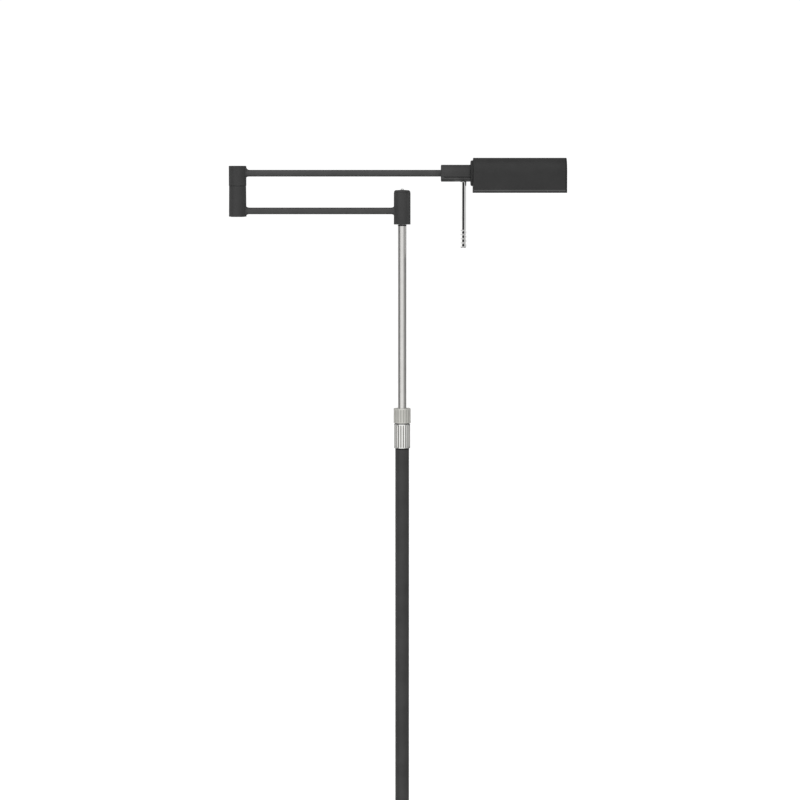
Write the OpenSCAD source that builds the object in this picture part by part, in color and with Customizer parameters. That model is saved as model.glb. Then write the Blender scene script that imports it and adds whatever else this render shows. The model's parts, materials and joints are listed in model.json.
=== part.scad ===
// Pharmacy floor lamp: a weighted round foot, a telescopic column with a twist lock,
// two folding arms and a trough-shaped LED head that rolls about the upper arm.
// Origin: centre of the foot's underside, on the column axis. +Z is up.
// The arms lie along X. The head is on the +X side and the elbow on the -X side.

/* [Foot] */
// Diameter of the round foot over its cover
base_d = 230; // [200:5:280]
// Height of the foot from the floor to the top of its cover
base_h = 18; // [18:1:24]
// Thickness of the soft pad under the foot
pad_t = 2; // [1:0.5:2.5]
// Sheet thickness of the foot cover
cover_t = 1.4; // [1:0.2:1.8]
// Bore of the gland that the supply cord enters through
cord_bore_d = 6.4; // [5:0.2:6.8]

/* [Column] */
// Diameter of the outer tube
outer_d = 16.6; // [16:0.2:17.2]
// Diameter of the sliding inner tube
inner_d = 10; // [9.6:0.1:10.4]
// Height of the lock's lower edge above the floor
lock_z = 951.5; // [800:0.5:1050]
// Length of inner tube that shows between the lock and the hub
exposed_len = 219; // [120:1:260]
// Whole length of the inner tube
inner_len = 500; // [450:5:550]

/* [Lock] */
// Diameter of the fluted lock barrel
barrel_d = 19.5; // [19.2:0.1:21]
// Height of the fluted lock barrel
barrel_h = 29.2; // [26:0.2:34]
// Diameter of the ribbed lock nut
nut_d = 20.5; // [19.6:0.1:22]
// Height of the ribbed lock nut
nut_h = 18.4; // [18:0.2:24]
// Number of flutes around the barrel and of ribs around the nut
flute_count = 18; // [12:2:20]

/* [Arms] */
// Distance from the column axis to the elbow axis
arm_reach = 197; // [150:1:240]
// Diameter of both arm tubes
arm_d = 8; // [7.6:0.1:8.4]
// Height of the upper arm's axis above the lower arm's
arm_gap = 45; // [44:1:60]
// Diameter of the hub on top of the column
hub_d = 20; // [19.5:0.1:22]
// Height of the hub's turning body
hub_h = 38; // [38:1:44]
// Diameter of the elbow barrels
elbow_d = 21; // [20:0.1:22]

/* [Head] */
// Distance from the column axis to the neck's near end
neck_x = 46.3; // [30:0.1:90]
// Length of the neck sleeve
neck_len = 35.4; // [34:0.2:42]
// Diameter of the neck sleeve
neck_d = 20.2; // [19:0.2:22]
// Diameter of the collar between the neck and the shade
collar_d = 30.7; // [26:0.1:34]
// Length of the shade
shade_len = 111.8; // [100:0.1:160]
// Outer radius of the shade's half-round roof
shade_r = 18.4; // [18.2:0.1:20]
// Height of the shade from its rim to the top of its roof
shade_h = 41.8; // [40:0.2:50]
// Number of light-emitting diodes in the row
led_count = 12; // [6:1:12]

/* [Handle] */
// Length of the handle below the neck
handle_len = 79.2; // [60:0.2:100]
// Diameter of the handle's rod
handle_d = 7.4; // [6.6:0.1:8]
// Number of beads on the handle's grip
bead_count = 4; // [3:1:6]
// Height of one bead
bead_pitch = 4.8; // [4:0.1:5]

/* [Hidden] */
$fn = 64;

// Clearances, each on the radius or along the axis
fit = 0.05;      // between pieces that are fixed in each other
run_fit = 0.08;  // between a shaft and the hole that it turns or slides in
gap = 0.3;       // between other pieces that move past each other
eps = 0.01;      // overshoot of a cut past a face

// Finishes
black = "#3c3d3f";
nickel = "#b4b2aa";
chrome = "#dcdcdc";
steel = "#8f9194";
nylon = "#e8e6dc";
dark_nylon = "#242424";
copper = "#c07040";

// Foot
base_r = base_d / 2;
cover_round = 5;
cover_skirt_z = 1;
weight_r = base_r - cover_t - 0.5;
weight_top = base_h - cover_t;
nipple_r = 5;
nipple_bore_r = 3.5;
nipple_hole_r = nipple_r + fit;
base_nut_flats = 17;
base_nut_h = 5;
base_washer_t = 1.6;
nut_recess_r = 15;
nut_recess_h = 8;
base_nut_z = pad_t + nut_recess_h - base_washer_t - base_nut_h;
nipple_bottom = base_nut_z - 0.5;
insert_h = 26;
foot_h = 12;
foot_r = 17;
gland_z = pad_t + 7.2;
gland_r = 4.5;
gland_flange_r = 5.6;
gland_flange_t = 2.2;
gland_len = 13;
gland_pocket = [13, 16, 13];
channel = [8, 7];

// Column
tube_wall = 1.2;
outer_bore_r = outer_d / 2 - tube_wall;
inner_r = inner_d / 2;
inner_bore_r = inner_r - 1;
cable_r = 2.2;
stop_h = 16;

// Lock, counted up from the barrel's lower edge
socket_h = 14;
spigot_r = barrel_d / 2 - 1.55;
collet_r = inner_r + run_fit + 1.45;
collet_z = lock_z + socket_h + 1;
spigot_h = 10;
spigot_top = lock_z + barrel_h + spigot_h;
collet_head_h = 3.5;
collet_head_r = collet_r + 1.2;
lock_gap = 0.4;
nut_z = lock_z + barrel_h + lock_gap;
nut_top = nut_z + nut_h;
nut_ceiling = spigot_top + collet_head_h + 0.5;

// Hub, counted up from its underside
tube_top = nut_top + exposed_len;
hub_washer_t = 1.5;
hub_r = hub_d / 2;
hub_z = tube_top + hub_washer_t + gap;
spindle_r = inner_bore_r - fit;
spindle_bore_r = 2.3;
spindle_socket = 22;
window_h = 9;
cavity_r = 7.5;
bearing_h = 9.7;
bush_z = hub_z + 23;
bush_h = 6;
thrust_t = 0.8;
spring_t = 1.4;
hub_stack_z = bush_z + bush_h + gap;
shoulder_z = hub_stack_z + thrust_t + spring_t;
thread_r = 3;
hub_nut_h = 4.5;
spindle_top = hub_z + hub_h - 0.8;
friction_t = 0.5;
friction_gap = 0.1;
cap_z = hub_z + hub_h + friction_t + friction_gap;
cap_t = 2.7;
screw_r = 1.5;
screw_head = [1.8, 1.6];
screw_len = cap_z + cap_t - shoulder_z - 1;

// Arms and elbow
arm_r = arm_d / 2;
arm_bore_r = arm_r - 1;
weld_r = arm_r + 1;
weld_len = 3;
lower_z = hub_z + 16.2;
upper_z = lower_z + arm_gap;
elbow_x = -arm_reach;
elbow_r = elbow_d / 2;
elbow_z = lower_z - 7.2;
elbow_top = upper_z + 8.8;
elbow_split = lower_z + arm_gap - 15.5;
elbow_floor = elbow_z + 14.5;
end_cap_t = 2.5;
elbow_flange = [6.5, 2.5];
elbow_spindle_r = 3.95;
elbow_bush_r = 5.5;
elbow_bush_h = 4.6;
bush_flange_t = 0.8;
elbow_bush_z = elbow_split + friction_t + friction_gap;
elbow_stack_z = elbow_bush_z + elbow_bush_h + bush_flange_t + gap;
elbow_nut_z = elbow_stack_z + thrust_t + spring_t;
elbow_nut_h = 3.4;
elbow_spindle_top = elbow_nut_z + elbow_nut_h + 0.3;

// Head, counted along X
neck_r = neck_d / 2;
neck_end = neck_x + neck_len;
neck_wall = 2.2;
neck_bore_r = 7;
liner_x = neck_x + neck_wall + 0.1;
liner_len = 12.9;
ring_x = liner_x + liner_len + 0.5;
ring_len = 6;
ring_r = neck_bore_r - 0.4;
arm_end = ring_x + ring_len;
plug_x = arm_end + 2;
plug_bore_r = 2.6;
slit_w = 1.3;
slit_angle = -28;
slit_depth = 2.4;
collar_t = 3;
shade_x = neck_end + collar_t;
shade_end = shade_x + shade_len;
sheet_t = 1.2;
hem_t = 1.8;
cap_plate_t = 1.6;
cap_plate_x = shade_end - cap_plate_t;
wall_drop = shade_h - shade_r;
shade_nut_flats = 14;
shade_nut_h = 4.2;
plug_end = shade_x + sheet_t + shade_nut_h + 2.5;

// Light unit, counted down from the head's axis
sink_x = plug_end + 1;
sink_r = shade_r - sheet_t - 0.6;
sink_floor = -2.5;
sink_web_top = 3;
wire_slot = [5, -1.2];
fin_slot_w = 1.8;
fin_slots = [-12.5, -5.4, 3.6, 10.7];
board_t = 1.6;
board_w = 16;
board_z = sink_floor - board_t;
led_size = [5, 5, 1];
led_pocket = 6;
led_margin = 8;
web_t = 0.8;
reflector_half = shade_r - sheet_t - 0.3;
reflector_knee = -12.2;
reflector_foot = -15.2;
diffuser_t = 2;
diffuser_half = reflector_half - web_t - 0.1;
diffuser_z = reflector_foot + web_t + 0.1;
led_row_x = sink_x + led_margin;
led_pitch = (cap_plate_x - led_margin - led_row_x) / (led_count - 1);
board_screw_y = 5.6;
board_screw_r = 1.25;
board_screw_len = 6.2;
board_screw_head = [2.3, 1.2];
end_screw_pos = [8, 6];
end_screw_len = 14;
wire_r = 0.7;
wire_y = 0.9;
wire_end = sink_x + 18;

// Handle
handle_x = plug_x + 3.2;
handle_top = upper_z - neck_r;
handle_bottom = handle_top - handle_len;
grip_r = handle_d / 2 + 0.5;
groove_r = handle_d / 2 - 0.2;
grip_tip_h = 2.4;
grip_top = handle_bottom + grip_tip_h + bead_count * bead_pitch;
stud_r = 2;
stud_len = 6;
tenon_r = 2;
tenon_len = 12;

// Ring with a round hole, standing on z = 0
module ring(r_out, r_in, h) {
    difference() {
        cylinder(r = r_out, h = h);
        translate([0, 0, -eps]) cylinder(r = r_in, h = h + 2 * eps);
    }
}

// Solid turned from an outline of [radius, height] points
module turned(points) {
    rotate_extrude() polygon(points);
}

// Turns a piece made along +Z so that it lies along +X at the height of an arm
module along_x(x, z) {
    translate([x, 0, z]) rotate([0, 90, 0]) children();
}

// Hexagonal nut standing on z = 0
module hex_nut(flats, r_in, h) {
    difference() {
        cylinder(d = flats / cos(30), h = h, $fn = 6);
        translate([0, 0, -eps]) cylinder(r = r_in, h = h + 2 * eps);
    }
}

// Coned spring washer standing on z = 0
module spring_washer(r_out, r_in, h) {
    sheet = h / 2;
    turned([[r_in, h - sheet], [r_out, 0], [r_out, sheet], [r_in, h]]);
}

// Points of a quarter turn about [r, z], from angle a to angle b
function arc(r, z, radius, a, b, steps = 6) =
    [for (i = [0 : steps]) let (t = a + (b - a) * i / steps) [r + radius * cos(t), z + radius * sin(t)]];

// ---- Foot ----

module base_pad() color("#2a2a2a") cylinder(r = weight_r - 2, h = pad_t);

module base_weight() color("#5a5a5c") difference() {
    turned([
        [0, pad_t], [weight_r, pad_t], [weight_r, weight_top - cover_round],
        [weight_r - cover_round, weight_top], [0, weight_top]
    ]);
    translate([0, 0, -eps]) cylinder(r = nipple_hole_r, h = base_h);
    translate([0, 0, pad_t - eps]) cylinder(r = nut_recess_r, h = nut_recess_h + eps);
    translate([-channel[0] / 2, 0, pad_t - eps]) cube([channel[0], base_r, channel[1]]);
    translate([-gland_pocket[0] / 2, base_r - gland_pocket[1], pad_t - eps]) cube(gland_pocket);
}

module base_cover() color(black) difference() {
    turned(concat(
        [[nipple_hole_r, base_h]],
        arc(base_r - cover_round, base_h - cover_round, cover_round, 90, 0),
        [[base_r, cover_skirt_z], [base_r - cover_t, cover_skirt_z]],
        arc(base_r - cover_round, base_h - cover_round, cover_round - cover_t, 0, 90),
        [[nipple_hole_r, weight_top]]
    ));
    translate([0, base_r - 2 * cover_round, gland_z]) rotate([-90, 0, 0])
        cylinder(r = gland_r + fit, h = 20);
}

module base_nut() color(steel) translate([0, 0, base_nut_z])
    hex_nut(base_nut_flats, nipple_hole_r, base_nut_h);

module base_washer() color(steel) translate([0, 0, base_nut_z + base_nut_h])
    ring(nut_recess_r - 2, nipple_hole_r, base_washer_t);

module base_nipple() color(steel) translate([0, 0, nipple_bottom])
    ring(nipple_r, nipple_bore_r, base_h + insert_h - 2 - nipple_bottom);

module cord_gland() color(dark_nylon)
    translate([0, base_r + gland_flange_t, gland_z]) rotate([90, 0, 0]) difference() {
        union() {
            cylinder(r = gland_flange_r, h = gland_flange_t);
            cylinder(r = gland_r, h = gland_len);
            translate([0, 0, gland_flange_t + cover_t + 0.6])
                cylinder(r1 = gland_r + 0.5, r2 = gland_r, h = 2);
        }
        translate([0, 0, -eps]) cylinder(d = cord_bore_d, h = gland_len + 2 * eps);
    }

module column_foot() color(black) translate([0, 0, base_h])
    turned(concat(
        [[outer_d / 2 + fit, 0], [foot_r, 0]],
        arc(foot_r - 1, 2, 1, 0, 90, 4),
        [[outer_d / 2 + 6, 4], [outer_d / 2 + 3.5, 8]],
        arc(outer_d / 2 + 2.5, foot_h - 1, 1, 0, 90, 4),
        [[outer_d / 2 + fit, foot_h]]
    ));

module foot_insert() color(steel) translate([0, 0, base_h])
    ring(outer_bore_r - fit, nipple_hole_r, insert_h);

// ---- Column and lock ----

module outer_tube() color(black) translate([0, 0, base_h])
    ring(outer_d / 2, outer_bore_r, lock_z + socket_h - base_h);

module column_cable() color("#303030") translate([0, 0, base_nut_z]) cylinder(r = cable_r, h = lock_z / 2);

module lock_barrel() color(chrome) translate([0, 0, lock_z]) difference() {
    turned([
        [outer_d / 2 + fit, 0], [barrel_d / 2 - 0.4, 0], [barrel_d / 2, 0.6],
        [barrel_d / 2, barrel_h - 0.6], [barrel_d / 2 - 0.6, barrel_h], [spigot_r, barrel_h],
        [spigot_r, barrel_h + spigot_h], [collet_r + fit, barrel_h + spigot_h],
        [collet_r + fit, socket_h], [outer_d / 2 + fit, socket_h]
    ]);
    for (i = [0 : flute_count - 1])
        rotate((i + 0.5) * 360 / flute_count - 90)
            translate([barrel_d / 2 + 0.5, 0, 1.5]) cylinder(r = 1, h = barrel_h - 3, $fn = 16);
}

module lock_collet() color(nylon) difference() {
    turned([
        [inner_r + run_fit, collet_z], [collet_r, collet_z], [collet_r, spigot_top],
        [collet_head_r, spigot_top], [collet_head_r - 0.8, spigot_top + collet_head_h],
        [inner_r + run_fit, spigot_top + collet_head_h]
    ]);
    for (a = [0 : 120 : 240])
        rotate(a) translate([0, -0.5, collet_z + 8]) cube([collet_r + 2, 1, barrel_h + spigot_h]);
}

module lock_nut() color(nickel) difference() {
    turned([
        [inner_r + gap, nut_ceiling], [spigot_r + run_fit - 1, nut_ceiling],
        [spigot_r + run_fit, spigot_top + 0.4], [spigot_r + run_fit, nut_z], [nut_d / 2 - 0.5, nut_z],
        [nut_d / 2, nut_z + 0.5], [nut_d / 2, nut_top - 0.6], [nut_d / 2 - 0.6, nut_top],
        [inner_r + gap, nut_top]
    ]);
    for (i = [0 : flute_count - 1])
        rotate((i + 0.5) * 360 / flute_count - 90)
            translate([nut_d / 2 + 0.55, 0, nut_z + 2]) cylinder(r = 0.8, h = nut_h - 4, $fn = 16);
}

// ---- Sliding inner tube and hub spindle ----

module inner_tube() color(nickel) translate([0, 0, tube_top - inner_len])
    ring(inner_r, inner_bore_r, inner_len);

module slide_stop() color(nylon) translate([0, 0, tube_top - inner_len])
    ring(outer_bore_r - run_fit, inner_r + fit, stop_h);

module riser_cable() color("#303030") translate([0, 0, tube_top - inner_len])
    cylinder(r = cable_r - 0.2, h = inner_len + hub_washer_t + bearing_h);

module hub_washer() color(dark_nylon) translate([0, 0, tube_top])
    ring(inner_r + 0.2, spindle_r + fit, hub_washer_t);

// Hollow pivot: pressed into the inner tube, with a window for the wires at the lower arm's height
module hub_spindle() color(steel) difference() {
    union() {
        translate([0, 0, tube_top - spindle_socket])
            cylinder(r = spindle_r, h = shoulder_z - tube_top + spindle_socket);
        translate([0, 0, shoulder_z - eps]) cylinder(r = thread_r, h = spindle_top - shoulder_z + eps);
    }
    translate([0, 0, tube_top - spindle_socket - 1])
        cylinder(r = spindle_bore_r, h = lower_z + window_h / 2 - tube_top + spindle_socket + 1.5);
    translate([-2 * spindle_r, -spindle_r - 1, lower_z - window_h / 2])
        cube([2 * spindle_r, 2 * spindle_r + 2, window_h]);
    translate([0, 0, shoulder_z - 1]) cylinder(r = screw_r + fit, h = 20);
}

module hub_thrust_washer() color(steel) translate([0, 0, hub_stack_z])
    ring(cavity_r - 0.6, spindle_r + fit, thrust_t);

module hub_spring_washer() color(steel) translate([0, 0, hub_stack_z + thrust_t])
    spring_washer(cavity_r - 0.8, spindle_r + fit, spring_t);

module hub_nut() color(steel) translate([0, 0, shoulder_z]) hex_nut(11, thread_r + fit, hub_nut_h);

module hub_cap() color(black) difference() {
    turned(concat(
        [[0, spindle_top], [thread_r + 1, spindle_top], [thread_r + 1, cap_z], [hub_r, cap_z]],
        arc(hub_r - 2, cap_z + cap_t - 2, 2, 0, 90),
        [[0, cap_z + cap_t]]
    ));
    translate([0, 0, spindle_top - eps]) cylinder(r = screw_r + fit, h = 10);
}

module cap_screw() color(chrome) translate([0, 0, cap_z + cap_t])
    turned(concat(
        [[0, -screw_len], [screw_r, -screw_len], [screw_r, 0], [screw_head[0], 0]],
        arc(screw_head[0] - 0.8, screw_head[1] - 0.8, 0.8, 0, 90),
        [[0, screw_head[1]]]
    ));

// ---- Lower arm with the hub's and the elbow's turned bodies ----

module hub_body() color(black) difference() {
    turned([
        [spindle_r + run_fit, hub_z], [hub_r - 0.5, hub_z], [hub_r, hub_z + 0.5],
        [hub_r, hub_z + hub_h - 0.4], [hub_r - 0.4, hub_z + hub_h], [cavity_r, hub_z + hub_h],
        [cavity_r, hub_z + bearing_h],
        [spindle_r + run_fit, hub_z + bearing_h]
    ]);
    along_x(-hub_r - 2, lower_z) cylinder(r = arm_r + fit, h = hub_r);
}

module hub_bush() color(nylon) translate([0, 0, bush_z])
    ring(cavity_r - fit, spindle_r + run_fit, bush_h);

module hub_top_washer() color(dark_nylon) translate([0, 0, hub_z + hub_h])
    ring(hub_r - 0.4, cavity_r, friction_t);

// Arm tube along X with a weld bead where it meets each round barrel
module arm_tube(x_from, x_to, z) {
    difference() {
        along_x(x_from, z) cylinder(r = arm_r, h = x_to - x_from);
        along_x(x_from - 1, z) cylinder(r = arm_bore_r, h = x_to - x_from + 2);
    }
}

// Weld bead: a short cone around the arm, hollowed to the barrel of radius r standing at x
module weld_bead(x, r, side, z) {
    difference() {
        translate([x + side * (r - 2), 0, z]) rotate([0, side * 90, 0])
            cylinder(r1 = weld_r + 0.7, r2 = arm_r, h = weld_len + 2);
        translate([x, 0, z - 10]) cylinder(r = r + fit, h = 20);
        along_x(x - 2 * r, z) cylinder(r = arm_r - 0.2, h = 4 * r);
    }
}

module lower_arm() color(black) {
    arm_tube(elbow_x + cavity_r + 0.2, -cavity_r - 0.1, lower_z);
    weld_bead(elbow_x, elbow_r, 1, lower_z);
    weld_bead(0, hub_r, -1, lower_z);
}

module lower_arm_cable() color("#303030") along_x(elbow_x + elbow_r, lower_z)
    cylinder(r = cable_r - 0.2, h = arm_reach - elbow_r - hub_r);

module elbow_base() color(black) translate([elbow_x, 0, 0]) difference() {
    turned([
        [elbow_spindle_r + fit, elbow_floor], [cavity_r, elbow_floor], [cavity_r, elbow_z],
        [elbow_r - 0.4, elbow_z], [elbow_r, elbow_z + 0.4], [elbow_r, elbow_split - 0.3],
        [elbow_r - 0.3, elbow_split], [elbow_spindle_r + fit, elbow_split]
    ]);
    along_x(2, lower_z) cylinder(r = arm_r + fit, h = elbow_r);
}

module elbow_bottom_cap() color(black) translate([elbow_x, 0, elbow_z])
    cylinder(r = cavity_r - fit, h = end_cap_t);

module elbow_washer() color(dark_nylon) translate([elbow_x, 0, elbow_split])
    ring(elbow_r - 0.3, elbow_spindle_r + fit, friction_t);

// Hollow bolt that joins the elbow's two barrels; the wires pass through it
module elbow_spindle() color(steel) translate([elbow_x, 0, elbow_floor - elbow_flange[1]])
    turned([
        [spindle_bore_r, 0], [elbow_flange[0], 0], [elbow_flange[0], elbow_flange[1]],
        [elbow_spindle_r, elbow_flange[1]],
        [elbow_spindle_r, elbow_spindle_top - elbow_floor + elbow_flange[1]],
        [spindle_bore_r, elbow_spindle_top - elbow_floor + elbow_flange[1]]
    ]);

module elbow_thrust_washer() color(steel) translate([elbow_x, 0, elbow_stack_z])
    ring(cavity_r - 0.5, elbow_spindle_r + fit, thrust_t);

module elbow_spring_washer() color(steel) translate([elbow_x, 0, elbow_stack_z + thrust_t])
    spring_washer(cavity_r - 0.8, elbow_spindle_r + fit, spring_t);

module elbow_nut() color(steel) translate([elbow_x, 0, elbow_nut_z])
    hex_nut(12, elbow_spindle_r + fit, elbow_nut_h);

// ---- Upper arm ----

module elbow_head() color(black) translate([elbow_x, 0, 0]) difference() {
    turned([
        [elbow_bush_r + fit, elbow_bush_z], [elbow_r - 0.3, elbow_bush_z], [elbow_r, elbow_bush_z + 0.3],
        [elbow_r, elbow_top - 0.4], [elbow_r - 0.4, elbow_top], [cavity_r, elbow_top],
        [cavity_r, elbow_bush_z + elbow_bush_h], [elbow_bush_r + fit, elbow_bush_z + elbow_bush_h]
    ]);
    along_x(2, upper_z) cylinder(r = arm_r + fit, h = elbow_r);
}

module elbow_bush() color(nylon) translate([elbow_x, 0, elbow_bush_z])
    turned([
        [elbow_spindle_r + run_fit, 0], [elbow_bush_r, 0], [elbow_bush_r, elbow_bush_h],
        [cavity_r - 0.1, elbow_bush_h], [cavity_r - 0.1, elbow_bush_h + bush_flange_t],
        [elbow_spindle_r + run_fit, elbow_bush_h + bush_flange_t]
    ]);

module elbow_top_cap() color(black) translate([elbow_x, 0, elbow_top - end_cap_t])
    cylinder(r = cavity_r - fit, h = end_cap_t);

module upper_arm() color(black) {
    arm_tube(elbow_x + cavity_r + 0.2, arm_end, upper_z);
    weld_bead(elbow_x, elbow_r, 1, upper_z);
}

module upper_arm_cable() color("#303030") along_x(elbow_x + elbow_r, upper_z)
    cylinder(r = cable_r - 0.2, h = arm_end - elbow_x - elbow_r);

module arm_end_ring() color(steel) along_x(ring_x, upper_z) ring(ring_r, arm_r + fit, ring_len);

// ---- Neck, collar and handle ----

// Split sleeve: the lengthwise slit lets it grip the liner
module neck() color(black) difference() {
    along_x(0, upper_z) turned([
        [arm_r + gap + fit, neck_x], [neck_r - 1, neck_x], [neck_r, neck_x + 1], [neck_r, neck_end - 0.3],
        [neck_r - 0.3, neck_end], [neck_bore_r, neck_end], [neck_bore_r, neck_x + neck_wall],
        [arm_r + gap + fit, neck_x + neck_wall]
    ]);
    translate([neck_x + neck_wall + 1, 0, upper_z]) rotate([-slit_angle, 0, 0])
        translate([0, -neck_r - 1, -slit_w / 2]) cube([neck_len, slit_depth + 1, slit_w]);
    translate([handle_x, 0, upper_z - neck_r - 1]) cylinder(r = stud_r + fit, h = 6);
}

module neck_liner() color(nylon) along_x(liner_x, upper_z)
    ring(neck_bore_r - fit, arm_r + run_fit, liner_len);

module neck_plug() color(steel) difference() {
    along_x(0, upper_z) turned([
        [plug_bore_r, plug_x], [neck_bore_r - fit, plug_x], [neck_bore_r - fit, neck_end],
        [nipple_r, neck_end], [nipple_r, plug_end], [plug_bore_r, plug_end]
    ]);
    translate([handle_x, 0, upper_z - neck_r]) cylinder(r = stud_r + fit, h = stud_len + 0.4);
}

module collar() color(black) along_x(neck_end, upper_z)
    turned(concat(
        [[nipple_hole_r, collar_t], [nipple_hole_r, 0], [collar_d / 2 - 2, 0]],
        arc(collar_d / 2 - 1.6, 1.6, 1.6, -90, 0),
        [[collar_d / 2, collar_t]]
    ));

module handle_rod() color(chrome) translate([handle_x, 0, 0]) {
    translate([0, 0, grip_top]) cylinder(r = handle_d / 2, h = handle_top - grip_top);
    translate([0, 0, handle_top - eps]) cylinder(r = stud_r, h = stud_len);
    translate([0, 0, grip_top - tenon_len]) cylinder(r = tenon_r, h = tenon_len + eps);
}

// Beaded grip: round beads between narrow grooves, above a domed tip
module handle_grip() color(chrome) translate([handle_x, 0, handle_bottom]) difference() {
    turned(concat(
        [[0, 0]],
        arc(grip_r - 1.6, 1.6, 1.6, -90, 0),
        [for (i = [0 : bead_count - 1]) let (z = grip_tip_h + i * bead_pitch) each [
            [groove_r, z], [groove_r, z + 0.6], [grip_r, z + 1.2], [grip_r, z + bead_pitch - 0.6]
        ]],
        [[groove_r, grip_top - handle_bottom], [0, grip_top - handle_bottom]]
    ));
    translate([0, 0, grip_top - handle_bottom - tenon_len - 0.2]) cylinder(r = tenon_r + fit, h = 20);
}

// ---- Shade and light unit ----

// Outline of the trough in the plane across the head: half-round roof of radius r, flat sides down to drop
module trough_outline(r, drop) {
    union() {
        circle(r = r);
        translate([-r, -drop]) square([2 * r, drop]);
    }
}

// Stands an outline drawn in Y and Z up across the head and extrudes it along X
module across_head(x, len) {
    translate([x, 0, upper_z]) rotate([90, 0, 90]) linear_extrude(len) children();
}

module shade() color(black) difference() {
    across_head(shade_x, shade_len - cap_plate_t) trough_outline(shade_r, wall_drop);
    across_head(shade_x + sheet_t, shade_len) difference() {
        trough_outline(shade_r - sheet_t, wall_drop + 1);
        for (side = [-1, 1])
            translate([side * (shade_r - hem_t / 2) - hem_t / 2, -wall_drop]) square(hem_t);
    }
    along_x(shade_x - 1, upper_z) cylinder(r = nipple_hole_r, h = 4);
}

module shade_nut() color(steel) along_x(shade_x + sheet_t, upper_z)
    hex_nut(shade_nut_flats, nipple_hole_r, shade_nut_h);

// One countersunk screw along X, its head flush with x = 0 and its tip towards -X
module countersunk_screw(clearance) {
    rotate([0, -90, 0]) {
        cylinder(r = screw_r + clearance, h = end_screw_len);
        cylinder(r1 = 2.8 + clearance, r2 = screw_r + clearance, h = 1.4);
    }
}

module at_end_screws() {
    for (side = [-1, 1])
        translate([shade_end, side * end_screw_pos[0], upper_z + end_screw_pos[1]]) children();
}

module shade_end_cap() color(black) difference() {
    across_head(cap_plate_x, cap_plate_t) trough_outline(shade_r, wall_drop);
    at_end_screws() translate([eps, 0, 0]) countersunk_screw(fit);
}

module end_cap_screws() color(steel) at_end_screws() countersunk_screw(0);

// Positions of the screws that hold the board, alternating from side to side
board_screw_x = [for (i = [1, 5, 9]) sink_x + (cap_plate_x - sink_x) * i / 10];
module at_board_screws() {
    for (i = [0 : len(board_screw_x) - 1])
        translate([board_screw_x[i], (i % 2 == 0 ? 1 : -1) * board_screw_y, upper_z + board_z - web_t])
            children();
}

// Finned bar under the roof, with a slot for the wires along its middle
module heat_sink() color("#c4c7ca") difference() {
    across_head(sink_x, cap_plate_x - sink_x) difference() {
        intersection() {
            circle(r = sink_r);
            translate([-sink_r, sink_floor]) square([2 * sink_r, 2 * sink_r]);
        }
        translate([-wire_slot[0] / 2, wire_slot[1]]) square([wire_slot[0], 2 * sink_r]);
        for (y = fin_slots)
            translate([y, sink_web_top]) square([fin_slot_w, sink_r]);
    }
    at_end_screws() countersunk_screw(fit);
    at_board_screws() cylinder(r = board_screw_r + fit, h = board_screw_len + 0.3);
}

module led_board() color("#e9e9e4") difference() {
    translate([sink_x + 1, -board_w / 2, upper_z + board_z])
        cube([cap_plate_x - sink_x - 2, board_w, board_t]);
    at_board_screws() cylinder(r = board_screw_r + fit, h = board_screw_len);
}

// Pockets or bodies of the diodes, centred under the board
module at_leds() {
    for (i = [0 : led_count - 1])
        translate([led_row_x + i * led_pitch, 0, upper_z + board_z]) children();
}

module leds() color("#f4e9a8") at_leds()
    translate([-led_size[0] / 2, -led_size[1] / 2, -led_size[2]]) cube(led_size);

module board_screws() color(steel) at_board_screws() translate([0, 0, -board_screw_head[1]]) {
    cylinder(r = board_screw_r, h = board_screw_len + board_screw_head[1]);
    cylinder(r = board_screw_head[0], h = board_screw_head[1]);
}

// Half of the reflector's outline, from the board's edge down to the lip and back
reflector_half_outline = [
    [board_w / 2 + 1, board_z], [reflector_half, reflector_knee], [reflector_half, reflector_foot],
    [reflector_half - 2, reflector_foot], [reflector_half - 2, reflector_foot + web_t],
    [reflector_half - web_t, reflector_foot + web_t], [reflector_half - web_t, reflector_knee],
    [board_w / 2, board_z - web_t]
];

// The same points on the other side, in the opposite order
function mirrored(points) = [for (i = [len(points) - 1 : -1 : 0]) [-points[i][0], points[i][1]]];

// White trough around the diodes; the diffuser lies on its two lips
module reflector() color("#f2f2ee") difference() {
    across_head(sink_x + 0.2, cap_plate_x - sink_x - 0.4)
        polygon(concat(reflector_half_outline, mirrored(reflector_half_outline)));
    at_leds() translate([-led_pocket / 2, -led_pocket / 2, -web_t - 1])
        cube([led_pocket, led_pocket, web_t + 2]);
    at_board_screws() translate([0, 0, -1]) cylinder(r = board_screw_r + fit, h = 3);
}

module diffuser() color("#fbfbf6") across_head(sink_x + 0.4, cap_plate_x - sink_x - 0.8)
    translate([-diffuser_half, diffuser_z]) square([2 * diffuser_half, diffuser_t]);

module head_wires() color(copper) for (side = [-1, 1])
    translate([arm_end + 1, side * wire_y, upper_z]) rotate([0, 90, 0])
        cylinder(r = wire_r, h = wire_end - arm_end);

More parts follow.
